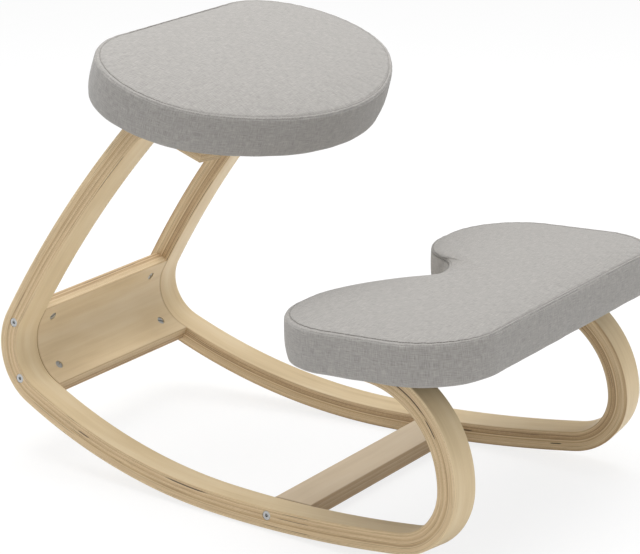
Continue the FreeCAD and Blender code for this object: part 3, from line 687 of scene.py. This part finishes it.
def linen_finish():
    """Melange yarns of two greys, woven plain, with slubs along both yarn directions."""
    linen = Finish("grey linen", roughness=0.86, sheen_weight=0.25, sheen_roughness=0.5)
    u, v, _ = linen.attribute("weave")
    warp = linen.noise(linen.vector(u * 1400, v * 110, 0))
    weft = linen.noise(linen.vector(u * 90, v * 1500, 7))
    slub = linen.noise(linen.vector(u * 60, v * 800, 3), 1.0, 2, 0.6)
    slub_up = linen.noise(linen.vector(u * 800, v * 50, 5), 1.0, 2, 0.6)
    cloud = linen.noise(linen.vector(u * 14, v * 14, 1))
    yarn = warp * 0.5 + weft * 0.5
    colour = linen.ramp(yarn, (0.32, paint(134, 131, 128)), (0.68, paint(184, 180, 175)),
                        (0.5, paint(160, 157, 153)))
    colour = linen.blend(linen.step(slub, 0.56, 0.70) * 0.4, colour, paint(194, 190, 185))
    colour = linen.blend(linen.step(slub_up, 0.57, 0.72) * 0.35, colour, paint(128, 125, 123))
    colour = linen.blend(cloud * 0.25, colour, paint(150, 146, 141))
    linen.put(linen.shader, "Base Color", colour)
    warp_wave, weft_wave = ((axis * (2 * math.pi / YARN_PITCH)).math("SINE") for axis in (u, v))
    linen.bump(warp_wave * weft_wave * 0.5 + yarn * 0.8 + slub * 0.5, 0.5, 0.25 * MM)
    return linen.material


grey_linen = linen_finish()


def arc_points(centre, radius, first, last, count):
    """Points on an arc, from its first to its last angle."""
    angles = np.radians(np.linspace(first, last, count))
    return np.array(centre) + np.stack((np.cos(angles), np.sin(angles)), 1) * radius


def outline_points(arcs):
    """How many points each arc and each straight gap gets."""
    counts = []
    for number, (centre, radius, first, last) in enumerate(arcs):
        counts.append(max(6, round(abs(math.radians(last - first)) * radius / POINT_SPACING) + 1))
        end = arc_points(centre, radius, first, last, 2)[1]
        start = arc_points(*arcs[(number + 1) % len(arcs)], 2)[0]
        gap = np.linalg.norm(start - end)
        counts.append(0 if gap < 0.1 else max(1, round(gap / POINT_SPACING) - 1))
    return counts


def outline(arcs_of, inset):
    """The closed outline at an inset, as points. Each inset has the same number of points."""
    arcs, counts = arcs_of(inset), outline_points(arcs_of(0))
    points = []
    for number, piece in enumerate(arcs):
        bow = arc_points(*piece, counts[2 * number])
        after = arc_points(*arcs[(number + 1) % len(arcs)], 2)[0]
        between = counts[2 * number + 1]
        points += list(bow if between else bow[:-1])
        points += [bow[-1] + (after - bow[-1]) * step / (between + 1) for step in range(1, between + 1)]
    return np.array(points)


def seat_arcs(inset):
    """A wide pad: a bowed front, round sides and a straight rear."""
    half, front, rear, side = 220 - inset, 131 - inset, 131 - inset, 111 - inset
    centre = np.array((half - side, rear - side))
    reach = centre[1] + front
    bow = (centre[0] ** 2 + reach ** 2 - side ** 2) / (2 * (reach - side))
    touch = math.degrees(math.atan2(centre[1] - bow + front, centre[0]))
    return [((0, bow - front), bow, -180 - touch, touch), (centre, side, touch, 90),
            (centre * (-1, 1), side, 90, 180 - touch)]


def knee_arcs(inset):
    """A kidney-shaped pad: a straight front and two lobes, with a notch of tangent arcs between them."""
    half, front, rear, corner, lobe, notch_depth, straight = 248.5, 105, 147, 86, 98.5, 83, 19
    lobe_x = half - corner - straight
    between = (lobe_x ** 2 + notch_depth ** 2) / (2 * notch_depth)
    notch = between - lobe + inset
    middle = rear - notch_depth + between - lobe
    corner_x, lobe_y = half - corner, rear - lobe
    touch = math.degrees(math.atan2(middle - lobe_y, -lobe_x))
    corner_round, lobe_round = corner - inset, lobe - inset
    return [((corner_x, corner - front), corner_round, -90, 0),
            ((corner_x, rear - corner), corner_round, 0, 90),
            ((lobe_x, lobe_y), lobe_round, 90, touch), ((0, middle), notch, touch - 180, -touch),
            ((-lobe_x, lobe_y), lobe_round, 180 - touch, 90),
            ((-corner_x, rear - corner), corner_round, 90, 180),
            ((-corner_x, corner - front), corner_round, 180, 270)]


def side_inset(share):
    """How far the boxing is drawn in, from its foot, 0, to the seam, 1."""
    if share < SWELL:
        return BOTTOM_TUCK * (1 - share / SWELL) ** 2
    return SEAM_TUCK * ((share - SWELL) / (1 - SWELL)) ** 2


def ring_at(points, height):
    """A ring of flat points, at one height."""
    return np.column_stack((points, np.full(len(points), float(height))))


def pad_rows(arcs_of, crown):
    """Rings of the pad: its flat foot from the middle out, its boxing up, and its top to the middle."""
    foot = outline(arcs_of, BOTTOM_TUCK)
    rows = []
    for scale in (0.08, 0.2, 0.35, 0.5, 0.62, 0.72, 0.78, 0.83, 0.87, 0.905, 0.935, 0.96, 0.982, 1):
        share = min(1, max(0, (scale - 0.85) / 0.11))
        rolled = FOOT_LEVEL - FOOT_ROLL * share ** 2 * (3 - 2 * share) + (FOOT_LIFT if scale == 1 else 0)
        rows.append(ring_at(foot * scale, rolled))
    low = rows[-1][0, 2]
    sides = [ring_at(outline(arcs_of, side_inset(share)), low + (SIDE_HEIGHT - low) * share)
             for share in np.linspace(0, 1, 9)[1:]]
    seam = sides[-1][:, :2]
    tops = [ring_at(seam * scale, SIDE_HEIGHT + crown * (1 - scale ** 2) ** 0.6)
            for scale in 1 - (np.linspace(0, 1, 24)[1:]) ** 1.25 * 0.94]
    return rows, sides, tops


def grid_mesh(name, grid):
    """A closed mesh from rings, whose first and last ring are filled."""
    rows, count = grid.shape[:2]
    faces = [(row * count + number, row * count + (number + 1) % count,
              (row + 1) * count + (number + 1) % count, (row + 1) * count + number)
             for row in range(rows - 1) for number in range(count)]
    mesh = bpy.data.meshes.new(name)
    verts = [tuple(point) for point in grid.reshape(-1, 3)]
    low, high = len(verts), len(verts) + 1
    verts += [tuple(grid[0].mean(0)), tuple(grid[-1].mean(0))]
    faces += [(number, low, (number + 1) % count) for number in range(count)]
    last = (rows - 1) * count
    faces += [(last + number, last + (number + 1) % count, high) for number in range(count)]
    mesh.from_pydata(verts, [], faces)
    return mesh


def inflate(name, grid, pinned_rows):
    """Blow the cover up over its foam with Blender's cloth, and hold each point to a few millimetres."""
    mesh = grid_mesh(name, grid * MM)
    pad = placed(name, mesh)
    scene = bpy.context.scene
    group = pad.vertex_groups.new(name="held")
    count = grid.shape[1]
    held = [row * count + number for row in pinned_rows for number in range(count)]
    group.add(held + [len(mesh.vertices) - 2], 1.0, "REPLACE")
    cloth = pad.modifiers.new("cloth", "CLOTH")
    cloth.settings.vertex_group_mass = "held"
    cloth.settings.use_pressure = True
    cloth.settings.uniform_pressure_force = PRESSURE
    cloth.settings.effector_weights.gravity = 0
    cloth.settings.quality = 6
    cloth.point_cache.frame_start = 1
    cloth.point_cache.frame_end = LAST_FRAME
    for number in range(1, LAST_FRAME + 1):
        scene.frame_set(number)
    graph = bpy.context.evaluated_depsgraph_get()
    result = pad.evaluated_get(graph).to_mesh()
    moved = np.empty(len(result.vertices) * 3)
    result.vertices.foreach_get("co", moved)
    moved = moved.reshape(-1, 3)[:-2].reshape(grid.shape) / MM
    scene.frame_set(1)
    bpy.data.objects.remove(pad)
    travel = moved - grid
    length = np.linalg.norm(travel, axis=2, keepdims=True)
    return grid + travel * PUFF_LIMIT / (PUFF_LIMIT + length)


def curve_between(a, b, c, d, t):
    """A point between b and c on a smooth curve through four points."""
    return 0.5 * (2 * b + (c - a) * t + (2 * a - 5 * b + 4 * c - d) * t ** 2
                  + (3 * b - a - 3 * c + d) * t ** 3)


def resample(rows, places):
    """Rings between rings, on a smooth curve through them."""
    rows = np.asarray(rows)
    padded = np.concatenate((2 * rows[:1] - rows[1:2], rows, 2 * rows[-1:] - rows[-2:-1]))
    result = []
    for place in places:
        base = min(int(place), len(rows) - 2)
        result.append(curve_between(*padded[base:base + 4], place - base))
    return np.array(result)


def refine_around(grid, times):
    """More points round each ring, on a smooth closed curve."""
    count = grid.shape[1]
    neighbours = [np.roll(grid, shift, axis=1) for shift in (1, 0, -1, -2)]
    parts = [curve_between(*neighbours, step / times) for step in range(times)]
    return np.stack(parts, axis=2).reshape(grid.shape[0], count * times, 3)


def surface_normals(grid):
    """The direction out of the surface at each point of the grid."""
    down = np.gradient(grid, axis=0)
    around = np.roll(grid, -1, axis=1) - np.roll(grid, 1, axis=1)
    normals = np.cross(around, down)
    return normals / np.maximum(np.linalg.norm(normals, axis=2, keepdims=True), 1e-9)


def ripple(count, waves, seed):
    """A smooth closed noise round the seam, about one high."""
    chance = np.random.default_rng(seed)
    angle = np.linspace(0, 2 * math.pi, count, endpoint=False)
    total = sum(chance.uniform(0.4, 1) * np.sin(angle * wave + chance.uniform(0, 6.28)) for wave in waves)
    return total / math.sqrt(len(waves))


def seam_relief(grid, seam, foot_rows, seed):
    """How deep each point lies for the seam, the welt, the topstitching and the slack of the cloth."""
    reach = np.zeros(grid.shape[:2])
    reach[1:] = np.cumsum(np.linalg.norm(np.diff(grid, axis=0), axis=2), axis=0)
    reach -= reach[seam]
    drop = SEAM_DROP * np.exp(-(reach / 0.9) ** 2)
    drop += STITCH_DROP * np.exp(-((reach - WELT_WIDTH) / 1.0) ** 2)
    drop -= WELT_RISE * np.exp(-((reach - WELT_WIDTH / 2) / 1.5) ** 2)
    pucker = ripple(grid.shape[1], (41, 57, 73, 96), seed) * PUCKER
    tuck = ripple(grid.shape[1], (9, 14, 23, 31), seed + 1) * TUCK
    above = pucker * np.exp(-((reach - WELT_WIDTH - 3) / 5) ** 2)
    drop += above + pucker * np.exp(-((reach + 5) / 6) ** 2)
    drop += tuck * np.exp(-((grid[:, :, 2] - 6) / 9) ** 2) * (reach < 0)
    drop[:foot_rows] = 0
    stitch_row = seam + int(np.argmin(np.abs(reach[seam:].mean(1) - WELT_WIDTH)))
    return drop, stitch_row


def lay_weave(mesh, grid, seam, foot_rows):
    """Lay the weave flat on the top and the foot, and round the boxing."""
    count = grid.shape[1]
    around = np.concatenate(([0], np.cumsum(np.linalg.norm(np.diff(grid[seam], axis=0), axis=1))))
    weave = mesh.attributes.new("weave", "FLOAT_VECTOR", "CORNER")
    flat = grid.reshape(-1, 3)
    for face in mesh.polygons:
        indices = [mesh.loops[number].vertex_index for number in face.loop_indices]
        rows = [index // count for index in indices]
        columns = [index % count for index in indices]
        on_side = foot_rows - 1 <= min(rows) and max(rows) <= seam
        wraps = max(columns) - min(columns) > count / 2
        for number, index, column in zip(face.loop_indices, indices, columns):
            if index >= len(flat):
                weave.data[number].vector = (0, 0, 0)
            elif on_side:
                run = around[column] if not (wraps and column == 0) else around[-1] + 2
                weave.data[number].vector = (run * MM, flat[index][2] * MM, 0)
            else:
                weave.data[number].vector = (flat[index][0] * MM, flat[index][1] * MM, 0)


def place_cushion_mesh(mesh, place):
    """Set a cushion's mesh, in millimetres, on its rails, in metres and with its faces outwards."""
    mesh.transform(place)
    mesh.transform(Matrix.Scale(MM, 4))
    shape = bmesh.new()
    shape.from_mesh(mesh)
    bmesh.ops.recalc_face_normals(shape, faces=shape.faces)
    shape.to_mesh(mesh)
    shape.free()


def cushion_cover(name, arcs_of, crown, place, seed, *replaced):
    """Shape one cover, sew its seam and welt, lay its weave, and give the line of its topstitching."""
    foot, sides, tops = pad_rows(arcs_of, crown)
    seam_row = len(foot) + len(sides) - 1
    shaped = inflate(name + "_form", np.array(foot + sides + tops), [*range(len(foot)), seam_row])
    side_rows = resample(shaped[len(foot) - 1:seam_row + 1],
                         [*np.linspace(0, 7, 19), 7.2, 7.4, 7.55, 7.68, 7.78, 7.87, 7.94, 8])
    top_rows = resample(shaped[seam_row:],
                        [0.06, 0.14, 0.25, 0.38, 0.52, 0.68, 0.84, 1.0, 1.16, 1.32, 1.5, 1.7, 1.95, 2.25, 2.6,
                         *np.linspace(3, len(tops), 30)])
    foot_rows = len(foot) - 1
    grid = refine_around(np.concatenate((shaped[:foot_rows], side_rows, top_rows)), 3)
    seam = foot_rows + len(side_rows) - 1
    normals = surface_normals(grid)
    drop, stitch_row = seam_relief(grid, seam, foot_rows, seed)
    grid = grid - normals * drop[:, :, None]
    mesh = grid_mesh(name, grid)
    place_cushion_mesh(mesh, place)
    lay_weave(mesh, grid, seam, foot_rows)
    mesh.polygons.foreach_set("use_smooth", [True] * len(mesh.polygons))
    cover = new_piece(name, mesh, grey_linen, "woven_cover", *replaced)
    return grid[stitch_row] + normals[stitch_row] * STITCH_RISE


seat_line = cushion_cover("seat_cushion", seat_arcs, SEAT_CROWN, seat_place, 4, "seat_cover", "seat_foam")
knee_line = cushion_cover("knee_cushion", knee_arcs, KNEE_CROWN, knee_place, 8, "knee_cover", "knee_foam")


# Topstitching
# One row of grey polyester thread in each top panel, beside the welt, about three millimetres a stitch. It
# goes through the panel and the turned-in edges of the seam, and keeps the welt flat.

STITCH_PITCH, STITCH_LENGTH, THREAD = 3.3, 2.5, 0.45


def thread_finish():
    thread = Finish("grey thread", roughness=0.6, sheen_weight=0.2)
    place = thread.node("TexCoord", {}, {}, "Object")
    ply = thread.noise(place, 2500, 2)
    thread.put(thread.shader, "Base Color", thread.blend(ply, paint(118, 115, 111), paint(158, 154, 149)))
    return thread.material


def stitch_tree():
    """Geometry nodes: points along a path at a set pitch, each with one short thread."""
    tree = bpy.data.node_groups.new("stitches", "GeometryNodeTree")
    tree.interface.new_socket("Path", in_out="INPUT", socket_type="NodeSocketGeometry")
    for name, value in (("Pitch", STITCH_PITCH), ("Length", STITCH_LENGTH), ("Thickness", THREAD)):
        size = tree.interface.new_socket(name, in_out="INPUT", socket_type="NodeSocketFloat")
        size.default_value = value * MM
    tree.interface.new_socket("Thread", in_out="INPUT", socket_type="NodeSocketMaterial")
    tree.interface.new_socket("Stitches", in_out="OUTPUT", socket_type="NodeSocketGeometry")
    add = tree.nodes.new
    given, made = add("NodeGroupInput"), add("NodeGroupOutput")
    to_curve = add("GeometryNodeMeshToCurve")
    points = add("GeometryNodeCurveToPoints")
    points.mode = "LENGTH"
    line = add("GeometryNodeCurvePrimitiveLine")
    line.mode = "DIRECTION"
    line.inputs["Direction"].default_value = (0, 0, 1)
    half = add("ShaderNodeMath")
    half.operation = "MULTIPLY"
    half.inputs[1].default_value = -0.5
    start = add("ShaderNodeCombineXYZ")
    ring = add("GeometryNodeCurvePrimitiveCircle")
    ring.inputs["Resolution"].default_value = 6
    tube = add("GeometryNodeCurveToMesh")
    tube.inputs["Fill Caps"].default_value = True
    place = add("GeometryNodeInstanceOnPoints")
    real = add("GeometryNodeRealizeInstances")
    colour = add("GeometryNodeSetMaterial")
    for source, output, target, socket in (
            (given, "Path", to_curve, 0), (to_curve, 0, points, "Curve"), (given, "Pitch", points, "Length"),
            (given, "Length", line, "Length"), (given, "Length", half, 0), (half, 0, start, 2),
            (start, 0, line, "Start"), (given, "Thickness", ring, "Radius"), (line, 0, tube, "Curve"),
            (ring, 0, tube, "Profile Curve"), (points, "Points", place, "Points"),
            (tube, 0, place, "Instance"), (points, "Rotation", place, "Rotation"), (place, 0, real, 0),
            (real, 0, colour, "Geometry"), (given, "Thread", colour, "Material"), (colour, 0, made, 0)):
        tree.links.new(source.outputs[output], target.inputs[socket])
    return tree


grey_thread = thread_finish()
stitches = stitch_tree()


def set_input(modifier, name, value):
    """Set an input of a geometry nodes modifier by its socket's identifier."""
    for item in modifier.node_group.interface.items_tree:
        if item.item_type == "SOCKET" and item.in_out == "INPUT" and item.name == name:
            modifier[item.identifier] = value


def sew(name, points, place, finish, slot_name, **sizes):
    """Set a row of short threads along closed points, in millimetres in the cushion's own space."""
    row = bpy.data.meshes.new(name + "_row")
    count = len(points)
    lines = [(number, (number + 1) % count) for number in range(count)]
    row.from_pydata([tuple(point) for point in points], lines, [])
    row.transform(place)
    row.transform(Matrix.Scale(MM, 4))
    guide = placed(name + "_row", row)
    modifier = guide.modifiers.new("stitches", "NODES")
    modifier.node_group = stitches
    set_input(modifier, "Thread", finish)
    for socket, value in sizes.items():
        set_input(modifier, socket, value * MM)
    mesh = evaluated_mesh(guide)
    bpy.data.objects.remove(guide)
    mesh.polygons.foreach_set("use_smooth", [True] * len(mesh.polygons))
    new_piece(name, mesh, finish, slot_name)


sew("seat_topstitch", seat_line, seat_place, grey_thread, "woven_cover")
sew("knee_topstitch", knee_line, knee_place, grey_thread, "woven_cover")


# Underside cloths
# A thin black non-woven cloth under each board hides the cut edge of the cover. It is drawn tight, and steel
# wire staples along its edge hold it to the ply.

CLOTH, CLOTH_INSET, STAPLE_INSET = 0.75, 16, 22
STAPLES = {"Pitch": 38, "Length": 10, "Thickness": 0.45}


def felt_finish():
    felt = Finish("black underside cloth", roughness=0.95)
    place = felt.node("TexCoord", {}, {}, "Object")
    fibres = felt.noise(place, 1800, 4, 0.7)
    felt.put(felt.shader, "Base Color", felt.blend(fibres, paint(28, 28, 29), paint(52, 51, 52)))
    felt.bump(fibres, 0.3, 0.1 * MM)
    return felt.material


black_cloth = felt_finish()


def underside(name, arcs_of, place, node):
    """Make one cloth from rings, over its upper face, round its edge and over its lower face."""
    rim = outline(arcs_of, CLOTH_INSET)
    levels = [(scale, CLOTH) for scale in (0.1, 0.5, 0.85, 0.97)]
    levels += [(0.995, 0.72), (1.0, 0.5), (0.995, 0.1)] + [(scale, 0) for scale in (0.97, 0.85, 0.5, 0.1)]
    mesh = grid_mesh(name, np.array([ring_at(rim * scale, height) for scale, height in levels]))
    place_cushion_mesh(mesh, place)
    cloth = new_piece(name, mesh, black_cloth, "underside_cloth", node)


underside("seat_underside", seat_arcs, seat_place, "seat_underside_cloth")
underside("knee_underside", knee_arcs, knee_place, "knee_underside_cloth")
for name, arcs_of, place in (("seat_staples", seat_arcs, seat_place),
                             ("knee_staples", knee_arcs, knee_place)):
    sew(name, ring_at(outline(arcs_of, STAPLE_INSET), -0.1), place, zinc_plate, "zinc_steel", **STAPLES)


# Studio
# A white floor that keeps a faint shadow, in an even white surround. One large soft light hangs overhead, and
# a weaker one fills in from the front.

def floor_finish():
    floor = Finish("white floor", base_color=paint(250, 250, 250), roughness=0.9)
    path = floor.node("LightPath", {}, {}, "Is Camera Ray")
    glow = floor.node("Emission", {}, {"Color": (1, 1, 1), "Strength": 0.80})
    matte = floor.node("BsdfDiffuse", {}, {"Color": (0.22, 0.22, 0.22)})
    seen = floor.node("AddShader", {}, {0: glow, 1: matte})
    mixed = floor.node("MixShader", {}, {0: path, 1: Wire(floor, floor.shader.outputs[0]), 2: seen})
    output = next(node for node in floor.nodes if node.type == "OUTPUT_MATERIAL")
    floor.links.new(mixed.socket, output.inputs[0])
    return floor.material


floor_mesh = bpy.data.meshes.new("floor")
floor_mesh.from_pydata([(-30, -30, 0), (30, -30, 0), (30, 30, 0), (-30, 30, 0)], [], [(0, 1, 2, 3)])
floor_mesh.materials.append(floor_finish())
floor_object = placed("floor", floor_mesh)
floor_object.location.z = -0.0005

world = bpy.data.worlds.new("studio")
bpy.context.scene.world = world
world.use_nodes = True
surround = world.node_tree
background = surround.nodes["Background"]
light_path = surround.nodes.new("ShaderNodeLightPath")
seen = surround.nodes.new("ShaderNodeBackground")
for node, strength in ((background, 0.52), (seen, 1.0)):
    node.inputs["Color"].default_value = (1, 1, 1, 1)
    node.inputs["Strength"].default_value = strength
mix = surround.nodes.new("ShaderNodeMixShader")
sources = (light_path.outputs["Is Camera Ray"], background.outputs[0], seen.outputs[0])
for number, socket in enumerate(sources):
    surround.links.new(socket, mix.inputs[number])
surround.links.new(mix.outputs[0], surround.nodes["World Output"].inputs[0])


def soft_light(name, power, size, place, aim):
    lamp = bpy.data.lights.new(name, "AREA")
    lamp.shape = "RECTANGLE"
    lamp.size, lamp.size_y = size
    lamp.energy = power
    light = placed(name, lamp)
    light.location = place
    light.rotation_euler = (Vector(aim) - Vector(place)).to_track_quat("-Z", "Y").to_euler()


soft_light("overhead", 66, (2.6, 2.6), (0.2, 0.3, 2.6), (0, 0, 0.2))
soft_light("front fill", 8, (2.0, 1.6), (-2.4, -2.6, 1.4), (0, 0, 0.2))

# Camera
# It stands where the photo was taken from, ahead of the chair and to its left, with a long lens. Its place,
# direction and lens come from a fit of the built frame to the photo.

camera_data = bpy.data.cameras.new("camera")
camera_data.sensor_fit = "HORIZONTAL"
camera_data.sensor_width = 36
camera_data.lens = 153.72
camera = placed("camera", camera_data)
camera.location = (-2.51095, -1.67768, 1.17057)
camera.rotation_euler = Vector((0.795558, 0.528394, -0.296458)).to_track_quat("-Z", "Y").to_euler()
bpy.context.scene.camera = camera
bpy.context.scene.view_settings.view_transform = "Standard"
